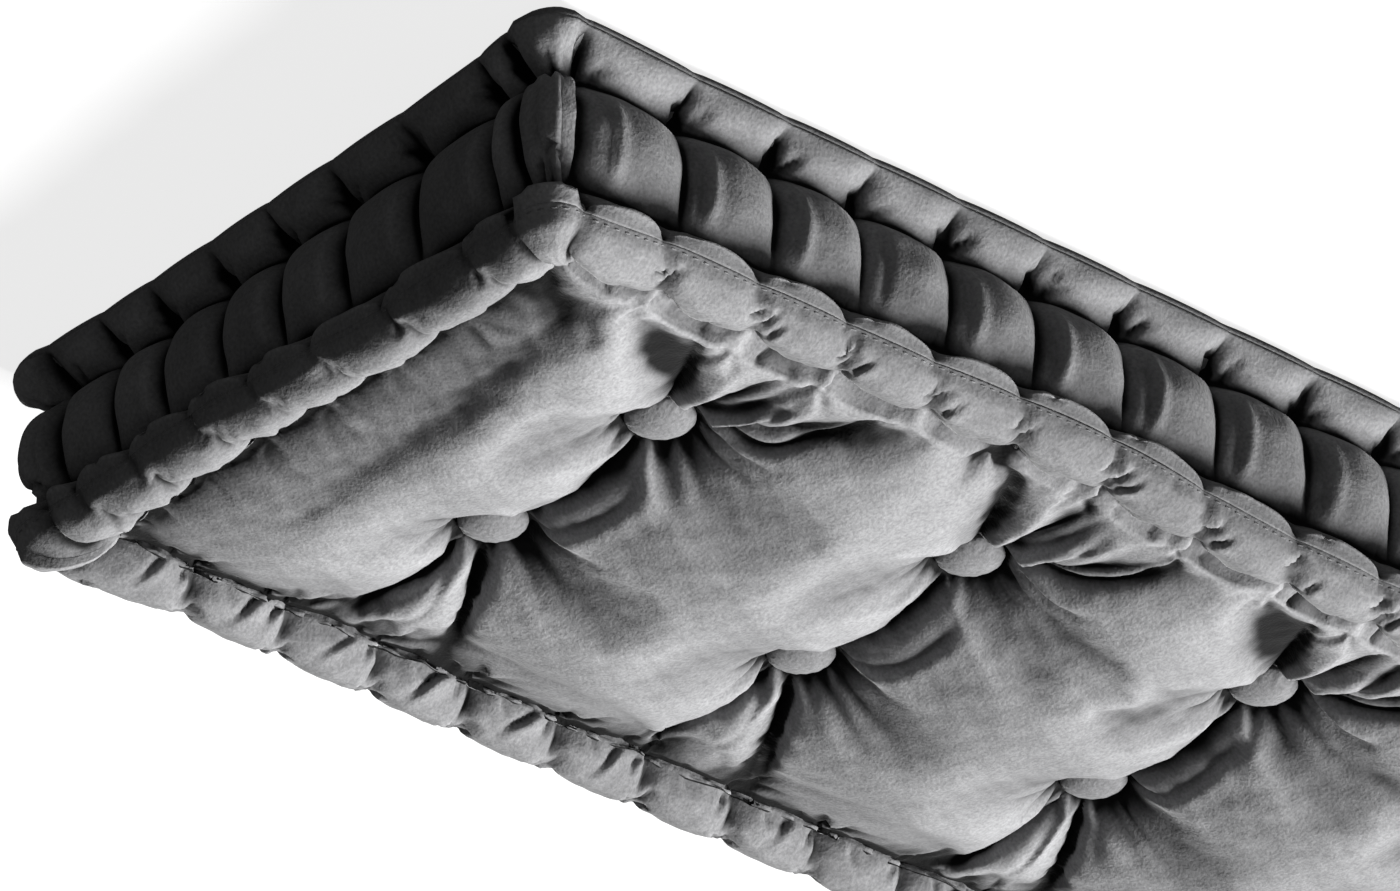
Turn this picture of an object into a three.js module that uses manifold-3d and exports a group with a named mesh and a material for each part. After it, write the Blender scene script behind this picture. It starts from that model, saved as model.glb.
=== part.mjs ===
// A button-tufted bench cushion with rolled edges, lying on its back with the button face up.
// Millimetres, +Z up, +X along the cushion. The origin is the middle of the underside, on the surface it lies on.
import * as THREE from "three";
import { mergeVertices } from "three/addons/utils/BufferGeometryUtils.js";
import Module from "manifold-3d";

// Overall size, from seam to seam
const LENGTH = 1170;
const WIDTH = 416;

// Heights above the surface that the cushion lies on
const ROLL_SEAM = 105;
const FACE_CREASE = 104;
const CROWN = 127;
const END_CROWN = 125;

// Tufting: columns of two buttons, with a crease across the face at each column
const COLUMN_PITCH = 201;
const COLUMN_X = [-2, -1, 0, 1, 2].map((k) => k * COLUMN_PITCH);
const ROW_Y = [-67, 59];
const BUTTON_RADIUS = 17.5;
const BUTTON_RIM = 3;
const BUTTON_DOME = 7.5;
const SEAT_HEIGHT = 88;
const GAP = 0.4;
const TUFT_DIP = 15;
const TUFT_REACH = 75;
const SEAT_RADIUS = 20;

// The creases of a column, drawn from its middle: across between the two buttons, and a fan of them from each
// button to the edge. ease: how much shallower a crease is where it ends, as a distance up the pillow's flank.
const CREASES = [
  { from: [0, -67], to: [-5, -4], ease: 0 },
  { from: [-5, -4], to: [0, 59], ease: 0 },
  { from: [0, -67], to: [62, -172], ease: 3 },
  { from: [0, -67], to: [4, -172], ease: 6 },
  { from: [0, -67], to: [-62, -172], ease: 8 },
  { from: [0, 59], to: [12, 172], ease: 3 },
  { from: [0, 59], to: [-56, 172], ease: 5 },
];

// How far the pillows take to rise to their crown from a column's crease and from the edge rolls
const PILLOW_RISE = 92;
const END_RISE = 90;
const SIDE_RISE = 70;

// Insets of the crease behind the upper roll and of the grids that fill the two faces
const CREASE_INSET = 38;
const GRID_INSET = 44;
const CORNER_TURN = 6;
const CORNER_ROUNDNESS = 0.77;

// How far the corners are drawn out along X and Y, in the order of SIDES, and how far along a side that reaches
const EARS = [
  { x: 9, y: 3 },
  { x: 5, y: 12 },
  { x: 9, y: 3 },
  { x: 5, y: 12 },
];
const EAR_REACH = 52;

// The underside is flat but for the dimples where the ties come through and a shallow crease at each column
const BACK_DIMPLE = 11;
const BACK_DIMPLE_REACH = 15;
const BACK_CREASE = 4;
const BACK_CREASE_REACH = 9;

// Grooves of the band, measured along each side from the corner where the side starts
const NEAR_END_GROOVES = [56, 117, 171, 219, 264, 310, 347];
const FRONT_GROOVES_FROM_NEAR_END = [88, 145, 200, 256, 312, 371, 432, 493, 551];
const HIDDEN_PITCH = 59;
const SIDE_FIRST_GROOVE = 88;
const END_FIRST_GROOVE = 56;
const HIDDEN_END_GROOVES = 7;

// The section through an edge, from the crease behind the upper roll to the crease on the underside.
// inset: distance in from the outline. pinch and drop: how much further in and down it goes at a groove.
// lift: the share of the upper roll's unevenness that it follows.
const SECTION = [
  { name: "crease behind the roll", inset: 38, height: 104, pinch: 2, drop: 2, lift: 0.3 },
  { name: "roll, inner side", inset: 30, height: 116, pinch: -2, drop: 3, lift: 0.8 },
  { name: "roll, top", inset: 18, height: 121, pinch: 0, drop: 3, lift: 1 },
  { name: "roll, outer shoulder", inset: 7, height: 115, pinch: 1.5, drop: 2, lift: 1 },
  { name: "roll, seam", inset: 3, height: ROLL_SEAM, pinch: 2, drop: 1, lift: 1 },
  { name: "roll, underside", inset: 4, height: 95, pinch: 6, drop: -1, lift: 0.8 },
  { name: "crease under the roll", inset: 14, height: 86, pinch: 5, drop: 0, lift: 0.5 },
  { name: "band, upper", inset: 7, height: 74, pinch: 10, drop: 0, lift: 0.2 },
  { name: "band, middle", inset: 4, height: 56, pinch: 12, drop: 0, lift: 0 },
  { name: "band, lower", inset: 7, height: 38, pinch: 11, drop: 0, lift: 0 },
  { name: "crease over the lower roll", inset: 15, height: 27, pinch: 8, drop: 0, lift: 0 },
  { name: "lower roll, shoulder", inset: 4, height: 20, pinch: 7, drop: 1, lift: 0 },
  { name: "lower roll, seam", inset: 0, height: 9, pinch: 0, drop: 0, lift: 0 },
  { name: "lower roll, outer foot", inset: 8, height: 0, pinch: 2, drop: 0, lift: 0 },
  { name: "lower roll, inner foot", inset: 30, height: 0, pinch: 0, drop: 0, lift: 0 },
  { name: "crease on the underside", inset: 38, height: 6, pinch: 0, drop: 0, lift: 0 },
];

// How far the upper roll stands above or below its plain height, by distance from the near front corner
const NEAR_END_LIFT = [
  { at: 0, lift: 6 },
  { at: 41, lift: 5 },
  { at: 81, lift: 1 },
  { at: 149, lift: 1 },
  { at: 206, lift: -4 },
  { at: 269, lift: -9 },
  { at: 410, lift: -5 },
];
const FRONT_LIFT = [
  { at: 0, lift: 6 },
  { at: 28, lift: 6 },
  { at: 85, lift: 0 },
  { at: 200, lift: -1 },
  { at: 340, lift: -5 },
  { at: 472, lift: 5 },
  { at: 541, lift: 6 },
  { at: 760, lift: -2 },
  { at: 1170, lift: 0 },
];

// The heights between two corners whose own lifts are given, for the sides that no table describes
const plainLift = (length, first, last) => [
  { at: 0, lift: first },
  { at: length / 2, lift: 2 },
  { at: length, lift: last },
];

const clamp = (value, low, high) => Math.min(Math.max(value, low), high);

// A quarter ellipse: steep at 0 and level at 1
const arch = (t) => Math.sqrt(1 - (1 - clamp(t, 0, 1)) ** 2);

const bell = (distance, reach) => Math.exp(-((distance / reach) ** 2));

function evenly(first, last, count) {
  return Array.from({ length: count }, (_, i) => first + ((last - first) * i) / (count - 1));
}

// The lift at a distance along a side, read smoothly from its table
function liftAt(table, distance) {
  const last = table.findIndex((row) => row.at >= distance);
  if (last <= 0) return table[0].lift;
  const [a, b] = [table[last - 1], table[last]];
  const t = (distance - a.at) / (b.at - a.at);
  return a.lift + (b.lift - a.lift) * t * t * (3 - 2 * t);
}

const frontGroovesLeft = [...FRONT_GROOVES_FROM_NEAR_END];
while (frontGroovesLeft.at(-1) < LENGTH - SIDE_FIRST_GROOVE - HIDDEN_PITCH / 2)
  frontGroovesLeft.push(frontGroovesLeft.at(-1) + HIDDEN_PITCH);

// The four sides, counterclockwise from above. start is the corner's sign in X and Y.
// pinch: distance from each corner to the fold beside the upright corner roll.
const SIDES = [
  {
    name: "near end",
    length: WIDTH,
    start: [1, -1],
    along: [0, 1],
    pinch: [38, 29],
    grooves: NEAR_END_GROOVES,
    lift: NEAR_END_LIFT,
  },
  {
    name: "rear side",
    length: LENGTH,
    start: [1, 1],
    along: [-1, 0],
    pinch: [26, 26],
    grooves: evenly(SIDE_FIRST_GROOVE, LENGTH - SIDE_FIRST_GROOVE, 18),
    lift: plainLift(LENGTH, -1, 2),
  },
  {
    name: "far end",
    length: WIDTH,
    start: [-1, 1],
    along: [0, -1],
    pinch: [38, 29],
    grooves: evenly(END_FIRST_GROOVE, WIDTH - END_FIRST_GROOVE, HIDDEN_END_GROOVES),
    lift: plainLift(WIDTH, 2, 0),
  },
  {
    name: "front side",
    length: LENGTH,
    start: [-1, -1],
    along: [1, 0],
    pinch: [26, 26],
    grooves: frontGroovesLeft.map((g) => LENGTH - g).reverse(),
    lift: FRONT_LIFT.map((row) => ({ at: LENGTH - row.at, lift: row.lift })).reverse(),
  },
];

const inward = (side) => [-side.along[1], side.along[0]];

// Stations round the outline. groove is 1 in a groove and 0 on the middle of a bulge.
const BULGE_STEPS = [0, 0.2, 0.5, 0.8];
const NARROW_STEPS = [0, 0.5];
const NARROW = 25;
const CORNER_STEPS = [15, 30, 45, 60, 75];
const CORNER_GROOVE = 0.2;

function sideStations(side, index) {
  const marks = [side.pinch[0], ...side.grooves, side.length - side.pinch[1]];
  const stations = [];
  for (let m = 0; m < marks.length - 1; m++) {
    const width = marks[m + 1] - marks[m];
    const steps = width < NARROW ? NARROW_STEPS : BULGE_STEPS;
    for (const t of steps) stations.push({ at: marks[m] + width * t, groove: 1 - arch(2 * Math.min(t, 1 - t)) });
  }
  stations.push({ at: marks.at(-1), groove: 1 });
  return stations.map((s) => ({ ...s, side: index, key: index + s.at / side.length }));
}

function cornerStations(index) {
  const side = SIDES[index];
  const next = SIDES[(index + 1) % SIDES.length];
  return CORNER_STEPS.map((degrees) => {
    const before = Math.min(degrees / 45 - 1, 0) * (side.pinch[1] / side.length);
    const after = Math.max(degrees / 45 - 1, 0) * (next.pinch[0] / next.length);
    const groove = degrees < 20 || degrees > 70 ? CORNER_GROOVE : 0;
    return { turn: (degrees * Math.PI) / 180, groove, side: index, at: side.length, key: index + 1 + before + after };
  });
}

const STATIONS = SIDES.flatMap((side, index) => [...sideStations(side, index), ...cornerStations(index)]);

// A point of the outline at a station, moved in by inset, and drawn out with the nearest corner
function outlinePoint(station, inset) {
  const [x, y] = plainPoint(station, inset);
  const side = SIDES[station.side];
  const atStart = station.turn === undefined && station.at < side.length / 2;
  const fromCorner = station.turn === undefined ? Math.min(station.at, side.length - station.at) : 0;
  const ear = EARS[atStart ? station.side : (station.side + 1) % SIDES.length];
  const share = bell(fromCorner, EAR_REACH) * clamp(1 - inset / GRID_INSET, 0, 1);
  return [x + Math.sign(x) * ear.x * share, y + Math.sign(y) * ear.y * share];
}

function plainPoint(station, inset) {
  const side = SIDES[station.side];
  const corner = [(side.start[0] * LENGTH) / 2, (side.start[1] * WIDTH) / 2];
  const into = inward(side);
  if (station.turn === undefined) {
    const at = squeezed(side, station.at, inset);
    return corner.map((c, i) => c + side.along[i] * at + into[i] * inset);
  }
  const next = SIDES[(station.side + 1) % SIDES.length];
  const end = Math.max(side.pinch[1], inset + CORNER_TURN);
  const start = Math.max(next.pinch[0], inset + CORNER_TURN);
  const back = (end - inset) * Math.sin(station.turn) ** CORNER_ROUNDNESS;
  const out = (start - inset) * Math.cos(station.turn) ** CORNER_ROUNDNESS;
  return corner.map((c, i) => c + side.along[i] * (side.length - end + back) + into[i] * (start - out));
}

// Deep rings are shorter than the outline, so the stations beside a corner close up there
function squeezed(side, at, inset) {
  const marks = [side.grooves[0], side.length - side.grooves.at(-1)];
  const squeeze = (distance, pinch, groove) => {
    const moved = Math.max(pinch, inset + CORNER_TURN);
    return distance >= groove ? distance : moved + ((distance - pinch) * (groove - moved)) / (groove - pinch);
  };
  if (at < marks[0]) return squeeze(at, side.pinch[0], marks[0]);
  return side.length - squeeze(side.length - at, side.pinch[1], marks[1]);
}

function ringPoint(station, level) {
  const [x, y] = outlinePoint(station, level.inset + level.pinch * station.groove);
  const lift = liftAt(SIDES[station.side].lift, station.at) * level.lift;
  return [x, y, level.height - level.drop * station.groove + lift];
}

function distanceToCrease(x, y, { from, to, ease }) {
  const [dx, dy] = [to[0] - from[0], to[1] - from[1]];
  const t = clamp(((x - from[0]) * dx + (y - from[1]) * dy) / (dx * dx + dy * dy), 0, 1);
  return Math.hypot(x - from[0] - t * dx, y - from[1] - t * dy) + ease * t;
}

function faceHeight(x, y) {
  const column = COLUMN_X.reduce((best, c) => (Math.abs(x - c) < Math.abs(x - best) ? c : best));
  const fromCrease = Math.min(...CREASES.map((crease) => distanceToCrease(x - column, y, crease)));
  const fromButton = Math.min(...ROW_Y.map((row) => Math.hypot(x - column, y - row)));
  const fromTuft = Math.max(Math.min(fromCrease, fromButton - SEAT_RADIUS), 0);
  const fromEnd = LENGTH / 2 - CREASE_INSET - Math.abs(x);
  const fromSide = WIDTH / 2 - CREASE_INSET - Math.abs(y);
  const low = FACE_CREASE - TUFT_DIP * bell(Math.max(fromButton - SEAT_RADIUS, 0), TUFT_REACH);
  const crown = Math.abs(x) > COLUMN_X.at(-1) ? END_CROWN : CROWN;
  const full = arch(fromTuft / PILLOW_RISE) * arch(fromEnd / END_RISE) * arch(fromSide / SIDE_RISE);
  return low + (crown - low) * full;
}

function backHeight(x, y) {
  const fromColumn = Math.min(...COLUMN_X.map((column) => Math.abs(x - column)));
  const fromRow = Math.min(...ROW_Y.map((row) => Math.abs(y - row)));
  const dimple = BACK_DIMPLE * bell(Math.hypot(fromColumn, fromRow), BACK_DIMPLE_REACH);
  const crease = BACK_CREASE * bell(fromColumn, BACK_CREASE_REACH);
  const height = Math.max(dimple, crease);
  return height > 0.5 ? height : 0;
}

// Lines of a face's grid: closest beside the tufts, where the surface turns fastest
const TOP_STEPS = [9, 20, 33, 48, 70];
const BACK_STEPS = [10, 28];
const lines = (middles, steps, extra, limit) =>
  [...middles.flatMap((m) => [m, ...steps.flatMap((s) => [m - s, m + s])]), ...extra]
    .filter((v) => Math.abs(v) < limit - 4)
    .concat([-limit, limit])
    .sort((a, b) => a - b);

const pillowMiddles = COLUMN_X.slice(1).map((x) => x - COLUMN_PITCH / 2);
const endLines = [COLUMN_X[0] - 107, COLUMN_X.at(-1) + 107];
const X_LIMIT = LENGTH / 2 - GRID_INSET;
const Y_LIMIT = WIDTH / 2 - GRID_INSET;
const TOP_X = lines(COLUMN_X, TOP_STEPS, [...pillowMiddles, ...endLines], X_LIMIT);
const TOP_Y = lines(ROW_Y, [9, 20, 40], [-130, -150, -4, 122, 150], Y_LIMIT);
const BACK_X = lines(COLUMN_X, BACK_STEPS, [], X_LIMIT);
const BACK_Y = lines(ROW_Y, BACK_STEPS, [], Y_LIMIT);

// The cushion's skin is gathered here as points and triangles
const points = [];
const triangles = [];

function addPoint(p) {
  points.push(...p);
  return points.length / 3 - 1;
}

function addGrid(xs, ys, height, facesUp) {
  const index = xs.map((x) => ys.map((y) => addPoint([x, y, height(x, y)])));
  for (let i = 0; i < xs.length - 1; i++)
    for (let j = 0; j < ys.length - 1; j++) {
      const [a, b, c, d] = [index[i][j], index[i + 1][j], index[i + 1][j + 1], index[i][j + 1]];
      if (facesUp) triangles.push(a, b, c, a, c, d);
      else triangles.push(a, c, b, a, d, c);
    }
  return gridRim(xs, ys, index);
}

// A grid's rim as a loop in the order of SIDES, each point with its key round the outline
function gridRim(xs, ys, index) {
  const [right, top] = [xs.length - 1, ys.length - 1];
  const share = (values, k) => (values[k] - values[0]) / (values.at(-1) - values[0]);
  const rim = [];
  for (let j = 0; j < top; j++) rim.push({ id: index[right][j], key: share(ys, j) });
  for (let i = right; i > 0; i--) rim.push({ id: index[i][top], key: 2 - share(xs, i) });
  for (let j = top; j > 0; j--) rim.push({ id: index[0][j], key: 3 - share(ys, j) });
  for (let i = 0; i < right; i++) rim.push({ id: index[i][0], key: 3 + share(xs, i) });
  return rim;
}

// Joins an outer and an inner loop of different counts with a strip of triangles
function stitch(outer, inner, facesUp) {
  const fromLeast = (loop) => {
    const keys = loop.map((p) => p.key % SIDES.length);
    const first = keys.indexOf(Math.min(...keys));
    return [...loop.slice(first), ...loop.slice(0, first)].map((p) => ({ id: p.id, key: p.key % SIDES.length }));
  };
  const [o, n] = [fromLeast(outer), fromLeast(inner)];
  const push = (a, b, c) => (facesUp ? triangles.push(a, b, c) : triangles.push(a, c, b));
  const key = (loop, k) => (k < loop.length ? loop[k].key : SIDES.length + loop[0].key);
  const id = (loop, k) => loop[k % loop.length].id;
  let [i, j] = [0, 0];
  while (i < o.length || j < n.length) {
    if (j === n.length || (i < o.length && key(o, i + 1) <= key(n, j + 1))) {
      push(id(o, i), id(o, i + 1), id(n, j));
      i++;
    } else {
      push(id(o, i), id(n, j + 1), id(n, j));
      j++;
    }
  }
}

function addSides() {
  const rings = SECTION.map((level) => STATIONS.map((station) => addPoint(ringPoint(station, level))));
  for (let r = 0; r < rings.length - 1; r++)
    STATIONS.forEach((_, i) => {
      const k = (i + 1) % STATIONS.length;
      const [upper, lower] = [rings[r], rings[r + 1]];
      triangles.push(lower[i], lower[k], upper[k], lower[i], upper[k], upper[i]);
    });
  const keyed = (ring) => ring.map((id, i) => ({ id, key: STATIONS[i].key }));
  return [keyed(rings[0]), keyed(rings.at(-1))];
}

const [upperRim, lowerRim] = addSides();
stitch(upperRim, addGrid(TOP_X, TOP_Y, faceHeight, true), true);
stitch(lowerRim, addGrid(BACK_X, BACK_Y, backHeight, false), false);

// A button's seat is cut out of the skin, so that each button sits in its own round well
const wasm = await Module();
wasm.setup();

function solidOf(geometry) {
  const bare = geometry.clone();
  bare.deleteAttribute("normal");
  bare.deleteAttribute("uv");
  const merged = mergeVertices(bare, 1e-3);
  const mesh = { numProp: 3, vertProperties: merged.attributes.position.array, triVerts: merged.index.array };
  return new wasm.Manifold(new wasm.Mesh({ ...mesh, triVerts: new Uint32Array(mesh.triVerts) }));
}

function geometryOf(solid) {
  const mesh = solid.getMesh();
  return new THREE.BufferGeometry()
    .setAttribute("position", new THREE.BufferAttribute(mesh.vertProperties, 3))
    .setIndex(new THREE.BufferAttribute(mesh.triVerts, 1));
}

const WELL_DEPTH = 60;
const ROUND = 20;

function wellAt(x, y) {
  const well = new THREE.CylinderGeometry(BUTTON_RADIUS + GAP, BUTTON_RADIUS + GAP, WELL_DEPTH, ROUND);
  return well.rotateX(Math.PI / 2).translate(x, y, SEAT_HEIGHT - GAP + WELL_DEPTH / 2);
}

function cushionGeometry() {
  const skin = new THREE.BufferGeometry()
    .setAttribute("position", new THREE.Float32BufferAttribute(points, 3))
    .setIndex(triangles);
  let solid = solidOf(skin);
  for (const x of COLUMN_X) for (const y of ROW_Y) solid = solid.subtract(solidOf(wellAt(x, y)));
  return geometryOf(solid);
}

// A covered button: a domed disc with a tucked-under rim
const DOME_STEPS = 4;

function buttonGeometry() {
  const outline = [new THREE.Vector2(0, 0), new THREE.Vector2(BUTTON_RADIUS - 2, 0)];
  for (let i = 0; i <= DOME_STEPS; i++) {
    const turn = (i / DOME_STEPS) * (Math.PI / 2);
    const radius = i === DOME_STEPS ? 0 : BUTTON_RADIUS * Math.cos(turn);
    outline.push(new THREE.Vector2(radius, BUTTON_RIM + BUTTON_DOME * Math.sin(turn)));
  }
  return new THREE.LatheGeometry(outline, ROUND).rotateX(Math.PI / 2);
}

const velvet = () => new THREE.MeshStandardMaterial({ color: 0x6f6f6f, roughness: 0.85, metalness: 0 });

function named(name, geometry) {
  const mesh = new THREE.Mesh(geometry, velvet());
  mesh.name = name;
  return mesh;
}

const cushion = new THREE.Group();
cushion.add(named("cushion", cushionGeometry()));
ROW_Y.forEach((y, row) =>
  [...COLUMN_X].reverse().forEach((x, column) => {
    const button = named(`button_${"ab"[row]}${column + 1}`, buttonGeometry());
    button.position.set(x, y, SEAT_HEIGHT);
    cushion.add(button);
  }),
);

export default cushion;
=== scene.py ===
"""A tufted bench cushion in grey velvet: its cover, covered buttons and stitches, with a plain studio.

Shapes are worked out in millimetres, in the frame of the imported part, and scaled to metres in the meshes.
"""

import math
from random import Random

import bmesh
import bpy
import numpy as np
from bpy.props import FloatProperty, FloatVectorProperty, IntProperty, PointerProperty
from mathutils import Matrix, Vector


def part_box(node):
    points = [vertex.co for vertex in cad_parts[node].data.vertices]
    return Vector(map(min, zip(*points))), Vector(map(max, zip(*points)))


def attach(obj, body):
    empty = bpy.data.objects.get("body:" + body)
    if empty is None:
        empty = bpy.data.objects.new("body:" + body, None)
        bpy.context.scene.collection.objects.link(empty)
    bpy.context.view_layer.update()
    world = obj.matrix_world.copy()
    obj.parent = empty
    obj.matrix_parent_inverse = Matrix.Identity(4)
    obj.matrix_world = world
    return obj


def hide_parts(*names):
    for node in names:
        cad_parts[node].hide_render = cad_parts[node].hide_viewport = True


bl_info = {
    "name": "Tufted bench cushion",
    "version": (1, 0, 0),
    "blender": (4, 5, 0),
    "location": "View3D > Sidebar > Cushion",
    "description": "Builds a button-tufted bench cushion with rolled edges, and its studio",
    "category": "Object",
}

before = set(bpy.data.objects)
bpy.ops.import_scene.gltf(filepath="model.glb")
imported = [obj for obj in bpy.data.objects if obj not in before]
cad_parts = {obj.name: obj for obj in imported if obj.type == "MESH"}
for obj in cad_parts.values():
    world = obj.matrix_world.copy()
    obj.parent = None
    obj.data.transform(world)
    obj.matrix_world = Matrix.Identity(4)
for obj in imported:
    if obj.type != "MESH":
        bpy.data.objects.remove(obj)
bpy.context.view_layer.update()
MM = 0.001

# Driving sizes of the cover: its length and width from seam to seam, and the crease inside the roll
LENGTH = 1170
WIDTH = 416
CREASE_INSET = 38
CREASE_HEIGHT = 104


def middle(name):
    """The middle of a node's box, in millimetres."""
    low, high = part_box(name)
    return [(a + b) / 2 / MM for a, b in zip(low, high)]


# The tufts stand where the frame has its buttons
BUTTONS = sorted(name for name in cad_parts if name.startswith("button"))
COLUMN_X = sorted({round(middle(name)[0]) for name in BUTTONS})
ROW_Y = sorted({round(middle(name)[1]) for name in BUTTONS})
FRONT_ROW, REAR_ROW = ROW_Y


# Plain curves that the shapes are drawn with


def arch(t):
    """A quarter ellipse: steep at 0 and level at 1."""
    return np.sqrt(1 - (1 - np.clip(t, 0, 1)) ** 2)


def slow_rise(t):
    """Between a quarter ellipse and a quarter wave, for an edge that rises gently."""
    return 0.3 * arch(t) + 0.7 * np.sin(np.pi / 2 * np.clip(t, 0, 1))


def bell(distance, reach):
    return np.exp(-((distance / reach) ** 2))


def ease(t):
    t = np.clip(t, 0, 1)
    return t * t * (3 - 2 * t)


def read_smoothly(table, at):
    """The value at a place, read from rows of place and value."""
    places, values = np.array(table, float).T
    k = np.clip(np.searchsorted(places, at) - 1, 0, len(places) - 2)
    return values[k] + (values[k + 1] - values[k]) * ease((at - places[k]) / (places[k + 1] - places[k]))


def waves(points, length, seed, count=14):
    """Soft random lumps of about one unit, with a typical length, from a few crossing waves."""
    draw = Random(seed)
    total = np.zeros(len(points))
    for _ in range(count):
        heading = draw.uniform(0, 2 * math.pi)
        step = 2 * math.pi / (length * draw.uniform(0.6, 1.6))
        along = points[:, 0] * math.cos(heading) + points[:, 1] * math.sin(heading)
        total += np.sin(along * step + draw.uniform(0, 2 * math.pi))
    return total / math.sqrt(count)


# The outline and the section through an edge

NEAR_END_GROOVES = [56, 117, 171, 219, 264, 310, 347]
FRONT_GROOVES_FROM_NEAR_END = [88, 145, 200, 256, 312, 371, 432, 493, 551]
HIDDEN_PITCH = 59
SIDE_FIRST_GROOVE = 88
SIDE_GROOVES = 18
END_FIRST_GROOVE = 56
END_GROOVES = 7
NEAR_END_LIFT = [(0, 6), (41, 5), (81, 1), (149, 1), (206, -4), (269, -9), (WIDTH, -5)]
FRONT_LIFT = [(0, 6), (28, 6), (85, 0), (200, -1), (340, -5), (472, 5), (541, 6), (760, -2), (LENGTH, 0)]


def front_grooves():
    """The grooves that the photograph shows, counted from the far end, and the hidden ones beyond them."""
    found = list(FRONT_GROOVES_FROM_NEAR_END)
    while found[-1] < LENGTH - SIDE_FIRST_GROOVE - HIDDEN_PITCH / 2:
        found.append(found[-1] + HIDDEN_PITCH)
    return [LENGTH - groove for groove in reversed(found)]


def even_grooves(length, first, count):
    """Evenly spaced grooves of a side that the photograph doesn't show."""
    return list(np.linspace(first, length - first, count))


# Counterclockwise from above. start: signs of the corner in X and Y. pinch: where the fold beside it is.
SIDES = [
    {
        "name": "near end",
        "length": WIDTH,
        "start": (1, -1),
        "along": (0, 1),
        "pinch": 34,
        "grooves": NEAR_END_GROOVES,
        "lift": NEAR_END_LIFT,
    },
    {
        "name": "rear side",
        "length": LENGTH,
        "start": (1, 1),
        "along": (-1, 0),
        "pinch": 26,
        "grooves": even_grooves(LENGTH, SIDE_FIRST_GROOVE, SIDE_GROOVES),
        "lift": [(0, -1), (LENGTH / 2, 2), (LENGTH, 2)],
    },
    {
        "name": "far end",
        "length": WIDTH,
        "start": (-1, 1),
        "along": (0, -1),
        "pinch": 34,
        "grooves": even_grooves(WIDTH, END_FIRST_GROOVE, END_GROOVES),
        "lift": [(0, 2), (WIDTH / 2, 2), (WIDTH, 0)],
    },
    {
        "name": "front side",
        "length": LENGTH,
        "start": (-1, -1),
        "along": (1, 0),
        "pinch": 26,
        "grooves": front_grooves(),
        "lift": [(LENGTH - at, lift) for at, lift in reversed(FRONT_LIFT)],
    },
]


def side_marks(side):
    """Where the bulges of a side meet, along it."""
    return [side["pinch"], *side["grooves"], side["length"] - side["pinch"]]


def side_frame(side):
    """The corner that a side starts from, its direction, and the direction into the cushion."""
    along = np.array(side["along"], float)
    corner = np.array([side["start"][0] * LENGTH / 2, side["start"][1] * WIDTH / 2])
    return corner, along, np.array([-along[1], along[0]])


# How far each corner is drawn out along X and Y
EARS = [(9, 3), (5, 12), (9, 3), (5, 12)]
EAR_REACH = 52
CORNER_TURN = 6
CORNER_ROUNDNESS = 0.77
CORNER_STEPS = 5
CORNER_FOLD_ANGLE = math.radians(25)
CORNER_FOLD_DEPTH = 0.2

# Stations lie closer together beside the tufts
TUFT_CROWDING = 0.9
TUFT_CROWDING_REACH = 42
STATION_SAMPLES = 2000

# Each place of the section: inset from the outline, height, how much further in and down it goes at a
# groove, its share of the upper roll's lift, and how far its grooves lean along the side
SECTION_VALUES = ("place", "inset", "height", "pinch", "drop", "lift", "lean")
SECTION_ROWS = [
    ("crease behind the roll", CREASE_INSET, CREASE_HEIGHT, -7, 3, 0.3, 0),
    ("roll, inner side", 31, 116, -5, 6, 0.8, 2),
    ("roll, top", 19, 121, 0, 6, 1, 8),
    ("roll, outer shoulder", 7, 115, 2, 4, 1, 14),
    ("roll, seam", 3, 105, 3, 1, 1, 18),
    ("roll, underside", 0, 97, 8, -6, 0.9, 18),
    ("crease under the roll", 15, 87, 4, 0, 0.5, 8),
    ("band, upper", 7, 74, 11, 0, 0.2, 0),
    ("band, middle", 3, 56, 14, 0, 0, 0),
    ("band, lower", 7, 38, 12, 0, 0, 0),
    ("crease over the lower roll", 16, 28, 13, 2, 0, 0),
    ("lower roll, shoulder", 4, 21, 11, 7, 0, 0),
    ("lower roll, seam", 0, 9, 1, 0, 0, 0),
    ("lower roll, outer foot", 8, 0, 2, 0, 0, 0),
    ("lower roll, inner foot", 30, 0, 0, 0, 0, 0),
    ("crease on the underside", CREASE_INSET, 6, 0, 0, 0, 0),
]
SECTION = [dict(zip(SECTION_VALUES, row)) for row in SECTION_ROWS]
PLACES = [row["place"] for row in SECTION]
SHARP = {
    "roll, underside",
    "crease under the roll",
    "crease over the lower roll",
    "crease on the underside",
}
UPPER_SEAM = PLACES.index("roll, seam")
LOWER_SEAM = PLACES.index("lower roll, seam")

# How many rings lie between one place of the section and the next
RING_STEPS = {
    "roll": [8, 9, 9, 8],
    "band": [7, 7, 6, 10, 10, 7, 6, 6],
    "back": [3, 4, 3],
}


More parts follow.
